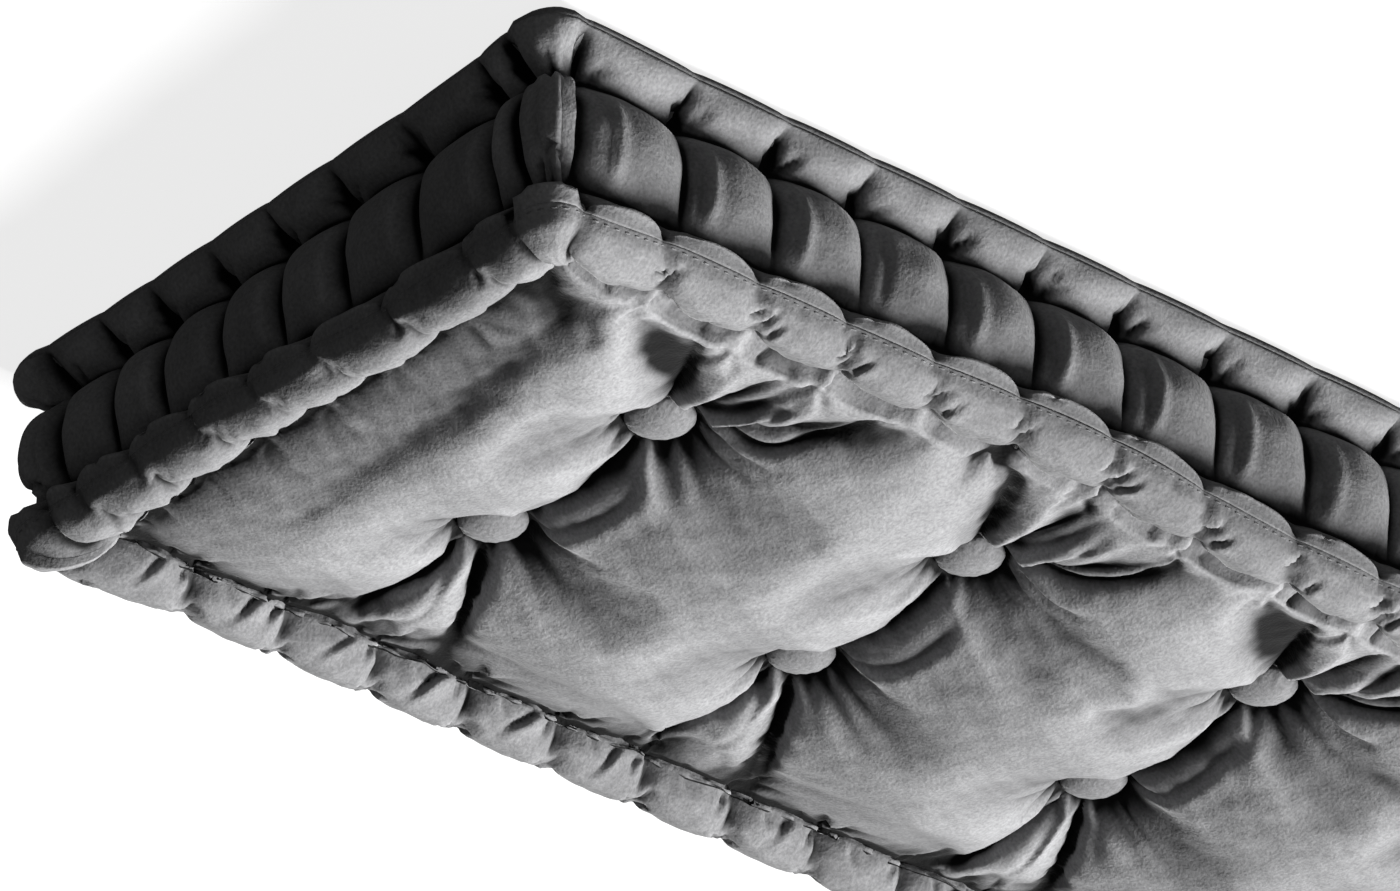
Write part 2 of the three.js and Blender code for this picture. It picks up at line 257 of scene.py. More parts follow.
class Outline:
    """The stations round the cushion, as one array for each of their values."""

    def __init__(self, end_steps, side_steps):
        self.steps = [end_steps, side_steps] * 2
        self.sizes = (side_steps + 2 * CORNER_STEPS, end_steps + 2 * CORNER_STEPS)
        quarter = math.pi / 4 / CORNER_STEPS
        side, at, turn = [], [], []
        for index, (one, count) in enumerate(zip(SIDES, self.steps)):
            straight = one["pinch"] + self._fractions(one, count) * (one["length"] - 2 * one["pinch"])
            first = [math.pi / 4 + quarter * k for k in range(CORNER_STEPS)]
            last = [quarter * k for k in range(1, CORNER_STEPS)]
            turn += first + [math.nan] * len(straight) + last
            at += [0] * len(first) + list(straight) + [one["length"]] * len(last)
            side += [index] * (len(first) + len(straight) + len(last))
        self.side, self.at, self.turn = np.array(side), np.array(at, float), np.array(turn)
        self.count = len(side)
        self.straight = np.isnan(self.turn)
        self.starts = np.concatenate([[0], np.cumsum([c + 2 * CORNER_STEPS for c in self.steps])])
        self.lift = np.zeros(self.count)
        for index, one in enumerate(SIDES):
            here = self.side == index
            self.lift[here] = read_smoothly(one["lift"], self.at[here])
        path = self.place(np.zeros(self.count))
        walk = np.cumsum(np.linalg.norm(np.roll(path, -1, axis=0) - path, axis=1))
        self.walk = np.concatenate([[0], walk[:-1]])
        self.around = walk[-1]

    @staticmethod
    def _fractions(side, count):
        """Fractions along a side's straight stretch, closer together beside the tufts."""
        fine = np.linspace(0, 1, STATION_SAMPLES)
        density = np.ones_like(fine)
        if side["length"] == LENGTH:
            x = side["pinch"] + fine * (LENGTH - 2 * side["pinch"]) - LENGTH / 2
            tuft = np.min([np.abs(x - column) for column in COLUMN_X], axis=0)
            density += TUFT_CROWDING * bell(tuft, TUFT_CROWDING_REACH)
        total = np.concatenate([[0], np.cumsum((density[1:] + density[:-1]) / 2)])
        return np.interp(np.linspace(0, 1, count + 1), total / total[-1], fine)

    def groove(self, lean=0):
        """1 in a groove and 0 on the middle of a bulge, for grooves that lean so far along the side."""
        share = np.full(self.count, 0.5)
        for index, one in enumerate(SIDES):
            here = (self.side == index) & self.straight
            marks = np.array(side_marks(one), float)
            marks[1:-1] += lean
            k = np.clip(np.searchsorted(marks, self.at[here], side="right") - 1, 0, len(marks) - 2)
            share[here] = (self.at[here] - marks[k]) / (marks[k + 1] - marks[k])
        depth = 1 - arch(2 * np.minimum(share, 1 - share))
        edge = ~self.straight & (np.abs(self.turn - math.pi / 4) > CORNER_FOLD_ANGLE)
        depth[edge] = CORNER_FOLD_DEPTH
        return depth

    def place(self, inset):
        """A point of the outline at each station, moved in by its inset."""
        found = np.zeros((self.count, 2))
        for index, one in enumerate(SIDES):
            corner, along, into = side_frame(one)
            here = (self.side == index) & self.straight
            at = self._squeezed(one, self.at[here], inset[here])
            found[here] = corner + at[:, None] * along + inset[here][:, None] * into
            turning = (self.side == index) & ~self.straight
            self._turn_corner(found, turning & (self.at == 0), index, inset)
            self._turn_corner(found, turning & (self.at > 0), (index + 1) % len(SIDES), inset)
        return found + self._ears(found, inset)

    def _turn_corner(self, found, here, corner, inset):
        """Places the stations that turn round a corner."""
        before, after = SIDES[corner - 1], SIDES[corner]
        place, along, _ = side_frame(after)
        end = np.maximum(before["pinch"], inset[here] + CORNER_TURN)
        start = np.maximum(after["pinch"], inset[here] + CORNER_TURN)
        back = end - (end - inset[here]) * np.sin(self.turn[here]) ** CORNER_ROUNDNESS
        out = start - (start - inset[here]) * np.cos(self.turn[here]) ** CORNER_ROUNDNESS
        found[here] = place + out[:, None] * along - back[:, None] * np.array(before["along"])

    def _squeezed(self, side, at, inset):
        """Deep rings are shorter than the outline, so the stations beside a corner close up there."""
        pinch, first, last = side["pinch"], side["grooves"][0], side["length"] - side["grooves"][-1]

        def squeeze(distance, groove):
            moved = np.maximum(pinch, inset + CORNER_TURN)
            inner = moved + (distance - pinch) * (groove - moved) / (groove - pinch)
            return np.where(distance >= groove, distance, inner)

        far = side["length"] - squeeze(side["length"] - at, last)
        return np.where(at < side["length"] / 2, squeeze(at, first), far)

    def _ears(self, found, inset):
        """How far each place is drawn out towards its corner."""
        lengths = np.array([SIDES[k]["length"] for k in self.side])
        from_corner = np.where(self.straight, np.minimum(self.at, lengths - self.at), 0)
        nearest = np.where(self.at < lengths / 2, self.side, (self.side + 1) % len(SIDES))
        share = bell(from_corner, EAR_REACH) * np.clip(1 - inset / (CREASE_INSET + CORNER_TURN), 0, 1)
        return np.sign(found) * np.array(EARS)[nearest] * share[:, None]


def rings(outline, first, steps):
    """Points of the rings from place number first on: an array of rings by stations by 3."""
    rows = []
    for row in SECTION:
        groove = outline.groove(row["lean"])
        flat = outline.place(row["inset"] + row["pinch"] * groove)
        height = row["height"] - row["drop"] * groove + row["lift"] * outline.lift
        rows.append(np.column_stack([flat, height]))
    rows = np.array(rows)
    step = np.diff(rows, axis=0)
    after = np.concatenate([step, step[-1:]])
    before = np.concatenate([step[:1], step])
    found = []
    for k, count in enumerate(steps):
        a, b = first + k, first + k + 1
        leave = after[a] if PLACES[a] in SHARP else (after[a] + before[a]) / 2
        arrive = before[b] if PLACES[b] in SHARP else (after[b] + before[b]) / 2
        for t in np.arange(count) / count:
            rise = ease(t)
            between = (1 - rise) * rows[a] + rise * rows[b]
            found.append(between + (t**3 - 2 * t**2 + t) * leave + (t**3 - t**2) * arrive)
    found.append(rows[first + len(steps)])
    found = np.array(found)
    found[..., 2] = np.maximum(found[..., 2], 0)
    return found


# The face: crowned pillows between the creases of the tufts

# Heights of the pillows, and how far they take to rise from a crease and from the edges
CROWN = 127
END_CROWN = 125
PILLOW_RISE = 92
END_RISE = 90
SIDE_RISE = 70
CREASE_ROUNDING = 4
RIDGE_ROUNDING = 11

# The seat of a button, and how the creases dip towards it
SEAT_RADIUS = 19
TUFT_DIP = 15
TUFT_REACH = 75

# The creases of a column, from its middle. ease: how much shallower a crease is where it ends.
CREASE_END = 172
CREASE_BEND = (-5, -4)
CREASES = [
    {"from": (0, FRONT_ROW), "to": CREASE_BEND, "ease": 0},
    {"from": CREASE_BEND, "to": (0, REAR_ROW), "ease": 0},
    {"from": (0, FRONT_ROW), "to": (62, -CREASE_END), "ease": 3},
    {"from": (0, FRONT_ROW), "to": (4, -CREASE_END), "ease": 6},
    {"from": (0, FRONT_ROW), "to": (-62, -CREASE_END), "ease": 16},
    {"from": (0, REAR_ROW), "to": (12, CREASE_END), "ease": 3},
    {"from": (0, REAR_ROW), "to": (-56, CREASE_END), "ease": 5},
]


def from_crease(x, y, crease):
    """How far places lie from a crease, a little further where it grows shallow."""
    (ax, ay), (bx, by) = crease["from"], crease["to"]
    dx, dy = bx - ax, by - ay
    t = np.clip(((x - ax) * dx + (y - ay) * dy) / (dx * dx + dy * dy), 0, 1)
    return np.hypot(x - ax - t * dx, y - ay - t * dy) + crease["ease"] * t


def rounded_least(values, rounding):
    """The least of a few arrays, with a rounded ridge where one takes over from the next."""
    return -rounding * np.log(np.sum(np.exp(-np.array(values) / rounding), axis=0))


def nearest_button(x, y):
    return np.min([np.hypot(x - column, y - row) for column in COLUMN_X for row in ROW_Y], axis=0)


def face_height(x, y):
    """The height of the face at places in plan."""
    creases = [np.min([from_crease(x - column, y, one) for one in CREASES], axis=0) for column in COLUMN_X]
    crease = rounded_least(creases, RIDGE_ROUNDING)
    seat = nearest_button(x, y) - SEAT_RADIUS
    tuft = np.hypot(np.maximum(np.minimum(crease, seat), 0), CREASE_ROUNDING) - CREASE_ROUNDING
    low = CREASE_HEIGHT - TUFT_DIP * bell(np.maximum(seat, 0), TUFT_REACH)
    crown = np.where(np.abs(x) > COLUMN_X[-1], END_CROWN, CROWN)
    end = LENGTH / 2 - CREASE_INSET - np.abs(x)
    side = WIDTH / 2 - CREASE_INSET - np.abs(y)
    rise = (crown - low) * arch(tuft / PILLOW_RISE)
    return low + rise * slow_rise(end / END_RISE) * slow_rise(side / SIDE_RISE)


# The back is flat but for a dimple opposite each button and a faint crease at each column
BACK_DIMPLE = 11
BACK_DIMPLE_REACH = 15
BACK_CREASE = 4
BACK_CREASE_REACH = 9
LEAST_DIMPLE = 0.5


def back_height(x, y):
    """The height of the underside at places in plan."""
    column = np.min([np.abs(x - c) for c in COLUMN_X], axis=0)
    row = np.min([np.abs(y - r) for r in ROW_Y], axis=0)
    dimple = BACK_DIMPLE * bell(np.hypot(column, row), BACK_DIMPLE_REACH)
    height = np.maximum(dimple, BACK_CREASE * bell(column, BACK_CREASE_REACH))
    return np.where(height > LEAST_DIMPLE, height, 0)


# How far in from the rim the lines of a panel bend to meet it
RIM_REACH = 14


def panel(outline, rim, height):
    """The grid that fills a face. Its lines run from rim station to rim station, and meet the rim."""
    near, rear, far, front = [rim[outline.starts[k] : outline.starts[k + 1]] for k in range(4)]
    far, front, near, rear = (
        np.vstack([far, front[:1]])[::-1],
        np.vstack([front, near[:1]]),
        np.vstack([near, rear[:1]]),
        np.vstack([rear, far[:1]])[::-1],
    )
    x, y = np.meshgrid(front[:, 0], near[:, 1], indexing="ij")
    plain = np.stack([x, y, height(x, y)], axis=-1)
    beside = {
        "x": [bell(x - x[:1], RIM_REACH), bell(x - x[-1:], RIM_REACH)],
        "y": [bell(y - y[:, :1], RIM_REACH), bell(y - y[:, -1:], RIM_REACH)],
    }
    moved = plain.copy()
    for end, rim_y, rim_x in ((0, front, far), (-1, rear, near)):
        moved += beside["y"][end][..., None] * (rim_y - plain[:, end])[:, None]
        moved += beside["x"][end][..., None] * (rim_x - plain[end])[None]
        for i in (0, -1):
            corner = rim_y[i] - plain[i, end]
            moved -= (beside["x"][i] * beside["y"][end])[..., None] * corner
    return moved


# Folds: soft troughs with a raised lip, pressed into a surface along a curve. Widths of a fold from its
# curve: where its lip stands, how wide the lip is, and where the fold ends.
LIP_AT = 2.0
LIP_WIDTH = 1.3
FOLD_END = 5
TROUGH_POWER = 1.5


def through(points, count=20):
    """A smooth curve through a few points."""
    points = np.array(points, float)
    padded = np.vstack([2 * points[0] - points[1], points, 2 * points[-1] - points[-2]])
    t = np.linspace(0, len(points) - 1, count)
    k = np.minimum(t.astype(int), len(points) - 2)
    t = (t - k)[:, None]
    a, b, c, d = (padded[k + n] for n in range(4))
    return 0.5 * (2 * b + (c - a) * t + (2 * a - 5 * b + 4 * c - d) * t**2 + (3 * b - a - 3 * c + d) * t**3)


def press(flat, rise, shift, fold):
    """Adds a fold's rise and sideways shift to the points of a surface, given at their flat places."""
    path = through(fold["through"])
    width = fold["width"]
    margin = FOLD_END * width * fold.get("spread", 1)
    low, high = path.min(axis=0) - margin, path.max(axis=0) + margin
    near = np.nonzero(np.all((flat > low) & (flat < high), axis=1))[0]
    if not len(near):
        return
    points = flat[near]
    best = np.full(len(near), np.inf)
    signed = np.zeros(len(near))
    along = np.zeros(len(near))
    across = np.zeros((len(near), 2))
    for k in range(len(path) - 1):
        edge = path[k + 1] - path[k]
        length = np.hypot(*edge)
        edge = edge / length
        offset = points - path[k]
        t = np.clip(offset @ edge, 0, length)
        foot = offset - t[:, None] * edge
        distance = np.hypot(foot[:, 0], foot[:, 1])
        closer = distance < best
        best[closer] = distance[closer]
        side = offset @ np.array([-edge[1], edge[0]])
        signed[closer] = np.copysign(distance[closer], side[closer])
        along[closer] = ((k + t / length) / (len(path) - 1))[closer]
        across[closer] = (-edge[1], edge[0])
    start, end = fold.get("taper", (0.15, 0.5))
    strength = ease(along / start) * ease((1 - along) / end)
    wide = width * (1 + (fold.get("spread", 1) - 1) * along)
    lip_side = fold.get("lip", 1)
    trough = np.exp(-((best / wide) ** TROUGH_POWER))
    lip = np.exp(-(((signed * lip_side - LIP_AT * wide) / (LIP_WIDTH * wide)) ** 2))
    rise[near] += fold["depth"] * strength * (fold.get("lip_share", 0.45) * lip - trough)
    pull = fold["depth"] * fold.get("pull", 0.5) * strength * lip
    shift[near] -= (lip_side * pull)[:, None] * across


def pressed(flat, folds, around=None):
    """The rise and the sideways shift that folds give to a surface. around is the length of a ring."""
    rise = np.zeros(len(flat))
    shift = np.zeros((len(flat), 2))
    for fold in folds:
        press(flat, rise, shift, fold)
        if around:
            press(flat + (around, 0), rise, shift, fold)
    return rise, shift


def fold_along(depth, width, *points, **more):
    """A fold: its depth and width, and the points that its curve goes through."""
    return {"depth": depth, "width": width, "through": points, **more}


FAN = {"folds": 15, "shortest": 20, "longest": 58, "depth": 1.9, "width": 2.6, "bend": 10, "seed": 11}


def button_fans():
    """Fine pleats that radiate from each button."""
    draw = Random(FAN["seed"])
    folds = []
    for column in COLUMN_X:
        for row in ROW_Y:
            turn = draw.uniform(0, 1)
            for k in range(FAN["folds"]):
                angle = 2 * math.pi * (k + turn + draw.uniform(-0.3, 0.3)) / FAN["folds"]
                reach = draw.uniform(FAN["shortest"], FAN["longest"])
                bend = draw.uniform(-FAN["bend"], FAN["bend"])
                out = np.array([math.cos(angle), math.sin(angle)])
                side = np.array([-out[1], out[0]])
                start = np.array([column, row]) + out * (SEAT_RADIUS - 2)
                half = start + out * reach * 0.5 + side * bend * 0.4
                folds.append(
                    {
                        "through": [start, half, start + out * reach + side * bend],
                        "depth": FAN["depth"] * draw.uniform(0.4, 1.1),
                        "width": FAN["width"] * draw.uniform(0.8, 1.3),
                        "spread": draw.uniform(1.3, 2.2),
                        "lip": draw.choice((-1, 1)),
                        "taper": (0.12, 0.75),
                    }
                )
    return folds


# Long folds of a column, from its middle, that don't follow the creases
LONG_FOLDS = [
    fold_along(2.6, 3, (0, -84), (-10, -115), (-6, -176), lip=1),
    fold_along(2.4, 3, (-6, -82), (-22, -110), (-16, -172), lip=-1),
    fold_along(5, 3.2, (-8, -84), (-30, -102), (-46, -122), (-55, -146), (-58, -176), lip=1),
    fold_along(2.6, 3, (-14, -78), (-36, -86), (-58, -100), lip=1),
    fold_along(2.4, 3.2, (-12, 45), (-22, 18), (-17, -22), (-8, -50), lip=-1),
    fold_along(3.2, 3, (10, 76), (6, 105), (10, 135), (16, 170), lip=1),
    fold_along(3.2, 3, (-6, 80), (-26, 108), (-44, 138), (-58, 172), lip=-1),
    fold_along(2, 2.6, (2, 80), (-10, 112), (-16, 150), lip=-1),
]
LONG_FOLDS_SEED = 5


def long_folds():
    """The long folds of every column, each a little out of place."""
    draw = Random(LONG_FOLDS_SEED)
    folds = []
    for column in COLUMN_X:
        for fold in LONG_FOLDS:
            moved = []
            for x, y in fold["through"]:
                moved.append((column + x + draw.uniform(-5, 5), y + draw.uniform(-3, 3)))
            folds.append({**fold, "through": moved, "spread": 1.3, "taper": (0.1, 0.4), "pull": 0.7})
    return folds


def side_point(side, at, inset):
    """A place in plan, so far along a side and in from it."""
    corner, along, into = side_frame(side)
    return corner + at * along + inset * into


# Pleats of one length of the upper roll, between two pinches: place along it as a share, and inset
ROLL_PLEATS = [
    fold_along(5, 2.4, (0.74, 44), (0.64, 34), (0.5, 24), (0.38, 12), lip=1),
    fold_along(4.5, 2.4, (0.98, 44), (0.9, 33), (0.82, 20), lip=1),
    fold_along(2.4, 2.4, (0.3, 42), (0.36, 34), (0.48, 28), lip=-1),
    fold_along(3.2, 1.7, (0.3, 8), (0.22, 0), (0.17, -7), lip=1),
    fold_along(3.6, 1.8, (0.16, 10), (0.08, 1), (0.03, -6), lip=1),
    fold_along(3.2, 1.8, (0.02, 14), (-0.06, 5), (-0.1, -3), lip=-1),
    fold_along(2.6, 3, (0.0, 42), (0.08, 54), (0.12, 72), lip=1),
    fold_along(2.6, 3, (0.0, 42), (-0.14, 52), (-0.34, 64), lip=-1),
    fold_along(2.2, 2.6, (0.02, 42), (0.24, 50), (0.44, 56), lip=-1),
]
ROLL_PLEATS_SEED = 23
ROLL_PLEATS_LEFT_OUT = 0.12
END_PLEATS_SHARE = 0.45
SHORTEST_PLEATED = 25


def roll_pleats():
    """The pleats of the upper roll, fainter at the ends than along the sides."""
    draw = Random(ROLL_PLEATS_SEED)
    folds = []
    for side in SIDES:
        marks = side_marks(side)
        for first, second in zip(marks, marks[1:]):
            if second - first < SHORTEST_PLEATED:
                continue
            for fold in ROLL_PLEATS:
                if draw.random() < ROLL_PLEATS_LEFT_OUT:
                    continue
                moved = []
                for share, inset in fold["through"]:
                    at = first + (second - first) * (share + draw.uniform(-0.04, 0.04))
                    moved.append(side_point(side, at, inset + draw.uniform(-2, 2)))
                strength = draw.uniform(0.55, 1.15) * (1 if side["length"] == LENGTH else END_PLEATS_SHARE)
                depth = fold["depth"] * strength
                folds.append({**fold, "through": moved, "depth": depth, "taper": (0.2, 0.75), "pull": 0.9})
    return folds


# Folds of a bulge of the band: share of the bulge, and length down from the upper seam
BULGE_FOLDS = [
    fold_along(-1.6, 3.2, (0.89, 26), (0.82, 44), (0.84, 66), (0.91, 84), only="front side"),
    fold_along(1.6, 2.8, (0.96, 22), (0.93, 44), (0.94, 66), (0.97, 84), only="front side"),
    fold_along(-1.8, 3.4, (0.16, 26), (0.24, 44), (0.22, 66), (0.12, 84), only="near end"),
    fold_along(2.2, 2.4, (0.02, 12), (0.1, 8), (0.24, 7)),
    fold_along(2.4, 2.6, (0.02, 90), (0.12, 99), (0.3, 104)),
    fold_along(2.4, 2.2, (0.02, 92), (0.08, 102), (0.16, 110)),
    fold_along(2.4, 2.4, (0.98, 92), (0.9, 100), (0.74, 105)),
    fold_along(2.2, 2.2, (0.98, 93), (0.94, 103), (0.88, 110)),
]
BULGE_FOLDS_LEFT_OUT = 0.1

# Folds of the upright roll at a corner: length from its middle, and length down from the upper seam
CORNER_FOLDS = [
    fold_along(2.6, 1.6, (0, 16), (-1, 50), (0, 84), (1, 112)),
    fold_along(3, 3, (7, 34), (9, 56), (6, 84)),
    fold_along(3.4, 2.6, (-9, 30), (-12, 52), (-10, 88)),
    fold_along(5, 2.2, (-17, 85), (-6, 90), (6, 90), (16, 84)),
    fold_along(5, 2.2, (-15, 18), (-12, 32), (-2, 40), (8, 33), (13, 16), lip=-1),
]
BAND_FOLDS_SEED = 31


def corner_folds(outline):
    """The folds of the four upright rolls."""
    folds = []
    for start in outline.starts[1:]:
        roll_at = outline.walk[start % outline.count] or outline.around
        for fold in CORNER_FOLDS:
            moved = [(roll_at + across, down) for across, down in fold["through"]]
            folds.append({**fold, "through": moved, "taper": (0.2, 0.2), "lip_share": 0.35})
    return folds


def bulge_folds(outline):
    """The folds of the bulges of all four sides."""
    draw = Random(BAND_FOLDS_SEED)
    folds = []
    for index, side in enumerate(SIDES):
        start = outline.walk[outline.starts[index] + CORNER_STEPS] - side["pinch"]
        marks = side_marks(side)
        for first, second in zip(marks, marks[1:]):
            for fold in BULGE_FOLDS:
                if fold.get("only", side["name"]) != side["name"] or draw.random() < BULGE_FOLDS_LEFT_OUT:
                    continue
                slide, lower = draw.uniform(-0.03, 0.03), draw.uniform(-2, 2)
                moved = []
                for share, down in fold["through"]:
                    moved.append((start + first + (second - first) * (share + slide), down + lower))
                fold = {**fold, "depth": fold["depth"] * draw.uniform(0.6, 1.2)}
                folds.append({**fold, "through": moved, "lip_share": 0.2, "taper": (0.3, 0.4)})
    return folds


def grid_normals(places, closed=False):
    """Unit normals of a structured surface: an array of lines by points by 3."""
    if closed:
        along = np.roll(places, -1, axis=1) - np.roll(places, 1, axis=1)
    else:
        along = np.gradient(places, axis=1)
    across = np.gradient(places, axis=0)
    normal = np.cross(across, along)
    return normal / np.maximum(np.linalg.norm(normal, axis=-1, keepdims=True), 1e-9)


# Meshes: each vertex starts at its place in a pattern, and is then moved to its place on the cushion


def of_type(geometry, kind):
    return [item for item in geometry if isinstance(item, kind)]


def extrude_rings(bm, edges, count, step=-1):
    """Extrudes a loop of edges into rings, each one step lower or higher in the pattern."""
    for _ in range(count):
        made = bmesh.ops.extrude_edge_only(bm, edges=edges)["geom"]
        corners = of_type(made, bmesh.types.BMVert)
        bmesh.ops.translate(bm, verts=corners, vec=(0, 0, step))
        ring = set(corners)
        edges = [edge for edge in of_type(made, bmesh.types.BMEdge) if ring.issuperset(edge.verts)]
    return edges


def pattern_places(bm):
    """The whole steps along, across and down at which each vertex of a pattern lies."""
    bm.verts.ensure_lookup_table()
    return np.rint([vert.co for vert in bm.verts]).astype(int)


def panel_pattern(outline, count):
    """A grid of one face per step, its rim extruded into rings and closed under them."""
    across, along = outline.sizes
    bm = bmesh.new()
    bmesh.ops.create_grid(bm, x_segments=across, y_segments=along, size=0.5)
    bmesh.ops.scale(bm, verts=bm.verts, vec=(across, along, 1))
    bmesh.ops.translate(bm, verts=bm.verts, vec=(across / 2, along / 2, 0))
    rim = [edge for edge in bm.edges if edge.is_boundary]
    rim = extrude_rings(bm, rim, count + 1)
    bmesh.ops.holes_fill(bm, edges=rim, sides=0)
    return bm


def band_pattern(outline, count):
    """A ring of stations extruded into rings, which is closed to a tube behind the band."""
    bm = bmesh.new()
    bmesh.ops.create_circle(bm, cap_ends=False, segments=outline.count, radius=1)
    bm.verts.ensure_lookup_table()
    for index, vert in enumerate(bm.verts):
        vert.co = (index, 0, 0)
    first = list(bm.edges)
    last = extrude_rings(bm, first, count + 1)
    top = extrude_rings(bm, first, 1, step=1)
    bmesh.ops.bridge_loops(bm, edges=top + last)
    return bm


def add_object(name, data):
    """A new object, linked to the scene."""
    made = bpy.data.objects.new(name, data)
    bpy.context.collection.objects.link(made)
    return made


def mesh_object(name, bm, places):
    """Moves a pattern to its places, in millimetres, and links it as an object."""
    for vert, place in zip(bm.verts, places * MM):
        vert.co = place
    bmesh.ops.recalc_face_normals(bm, faces=bm.faces)
    for face in bm.faces:
        face.smooth = True
    mesh = bpy.data.meshes.new(name)
    bm.to_mesh(mesh)
    bm.free()
    return add_object(name, mesh)


def write_piece(name, bm, places, material, painted_shading=None):
    """Links a piece of the cushion, with how far each of its vertices lies below its surroundings, which
    the velvet turns into painted shade and painted highlight.
    """
    piece = mesh_object(name, bm, places)
    piece.data.materials.append(material)
    if painted_shading is not None:
        attribute = piece.data.attributes.new("painted_shading", "FLOAT", "POINT")
        attribute.data.foreach_set("value", painted_shading.astype(np.float32))
    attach(piece, "root")
    return piece


def station_of(outline, i, j):
    """The outline's station at each place on the rim of a panel's pattern."""
    across, along = outline.sizes
    near, rear, far, front = outline.starts[:4]
    station = np.where(j == 0, front + i, 0)
    station = np.where((i == 0) & (j > 0), far + along - j, station)
    station = np.where((j == along) & (i > 0), rear + across - i, station)
    station = np.where((i == across) & (j < along), near + j, station)
    return station % outline.count


# Where the hidden inner walls of the pieces turn, as inset and height
FACE_LID = (42, 60)
ROLL_LIDS = ((34, 99), (9, 103))
BAND_LIDS = ((30, 92), (30, 12))
BACK_LID = (30, 22)


def unrolled_insets(rows):
    """The inset that each ring would have if the roll lay flat beside the face."""
    steps = np.linalg.norm(np.diff(rows, axis=0), axis=2).mean(axis=1)
    return CREASE_INSET - np.concatenate([[0], np.cumsum(steps)])


def moved_along(places, normal, rise, shift):
    """Places moved out by rise and sideways by shift, as far as the surface lets them."""
    shape = places.shape[:2]
    slide = np.concatenate([shift.reshape(*shape, 2), np.zeros((*shape, 1))], axis=-1)
    slide -= normal * np.sum(normal * slide, axis=-1, keepdims=True)
    return places + normal * rise.reshape(*shape, 1) + slide


def face_surface(outline, steps):
    """The smooth shape of the face: its grid, and the rings of its roll."""
    rows = rings(outline, 0, steps)
    return panel(outline, rows[0], face_height), rows


def rim_distance(grid):
    """How far each place of a panel lies from its rim, in plan."""
    flat = grid[..., :2]
    edges = (np.s_[:1], np.s_[-1:], np.s_[:, :1], np.s_[:, -1:])
    return np.min([np.linalg.norm(flat - flat[edge], axis=-1) for edge in edges], axis=0)


# Within this reach of a seam, folds fade out
SEAM_HOLD = 6


def held_ends(at):
    """0 on the first and last ring and 1 between them."""
    return np.clip(np.minimum(np.abs(at - at[0]), np.abs(at - at[-1])) / SEAM_HOLD, 0, 1)


# Low swells of the cloth: their height and length
FACE_SWELL = 0.25
FACE_SWELL_LENGTH = 17
BAND_SWELL = 0.35
BAND_SWELL_LENGTH = 30


def face_places(outline, puffs, folds):
    """The grid of the face and the rings of its roll, puffed up and with folds pressed in."""
    grid, rows = face_surface(outline, RING_STEPS["roll"])
    insets = unrolled_insets(rows)
    flat_rows = np.array([outline.place(np.full(outline.count, inset)) for inset in insets])
    flat = np.concatenate([grid[..., :2].reshape(-1, 2), flat_rows.reshape(-1, 2)])
    grid = grid + puffs[0]
    rows = rows + puffs[1]
    rise, shift = pressed(flat, folds)
    rise += FACE_SWELL * waves(flat, FACE_SWELL_LENGTH, seed=4)
    rim = np.clip(rim_distance(grid) / SEAM_HOLD, 0, 1)
    held = np.concatenate([rim.ravel(), np.repeat(held_ends(insets), outline.count)])
    rise *= held
    shift *= held[:, None]
    grid_rise, rows_rise = np.split(rise, [rim.size])
    grid_shift, rows_shift = np.split(shift, [rim.size])
    grid = moved_along(grid, grid_normals(grid), grid_rise, grid_shift)
    rows = moved_along(rows, grid_normals(rows, closed=True), rows_rise, rows_shift)
    return grid, rows


def lid(outline, corner):
    """A ring of a hidden inner wall, at one inset and height."""
    inset, height = corner
    flat = outline.place(np.full(outline.count, float(inset)))
    return np.column_stack([flat, np.full(outline.count, float(height))])


# Steps over which a surface is smoothed to find its hollows
PANEL_SCALES = (1, 1, 2, 2, 4, 4, 8)
TUBE_SCALES = (1, 1, 2, 2, 3)


def hollows(places, scales, closed=False):
    """How far each place lies below its smoothed surroundings, in millimetres."""
    smooth = places
    for step in scales:
        for axis in (0, 1):
            if axis == 1 and closed:
                before, after = np.roll(smooth, step, axis=1), np.roll(smooth, -step, axis=1)
            else:
                last = smooth.shape[axis] - 1
                index = np.arange(last + 1)
                before = np.take(smooth, np.maximum(index - step, 0), axis=axis)
                after = np.take(smooth, np.minimum(index + step, last), axis=axis)
            smooth = smooth / 2 + (before + after) / 4
    return np.sum((smooth - places) * grid_normals(places, closed), axis=-1)


def read_between(values, at, closed=False):
    """Rows of values read at places between them, along a smooth curve."""
    whole = np.floor(at).astype(int)
    t = (at - whole).reshape(-1, *[1] * (values.ndim - 1))
    last = len(values)

    def row(step):
        picked = whole + step
        return values[picked % last if closed else np.clip(picked, 0, last - 1)]

    a, b, c, d = (row(step) for step in (-1, 0, 1, 2))
    return b + 0.5 * t * (c - a + t * (2 * a - 5 * b + 4 * c - d + t * (3 * (b - c) + d - a)))


def coarse_station(steps, coarse_steps):
    """For each station of a side, its place among those of a coarser side."""
    corner = CORNER_STEPS
    fine = [0, corner, corner + steps, steps + 2 * corner]
    coarse = [0, corner, corner + coarse_steps, coarse_steps + 2 * corner]
    return np.interp(np.arange(steps + 2 * corner), fine, coarse)


def coarse_ring(steps, coarse_steps):
    """For each ring of a roll, its place among the rings of a coarser roll."""
    fine = np.concatenate([[0], np.cumsum(steps)])
    coarse = np.concatenate([[0], np.cumsum(coarse_steps)])
    return np.interp(np.arange(fine[-1] + 1), fine, coarse)


# The simulation of the filled face. Distances are in millimetres.
PUFF = {
    "end steps": 54,
    "side steps": 180,
    "ring steps": [3, 3, 3, 2],
    "frames": 12,
    "quality": 2,
    "pressure": 5,
    "spare cloth": 0.01,
    "tension": 15,
    "shear": 5,
    "bending": 8,
    "furthest": 20,
    "furthest in": 3,
}


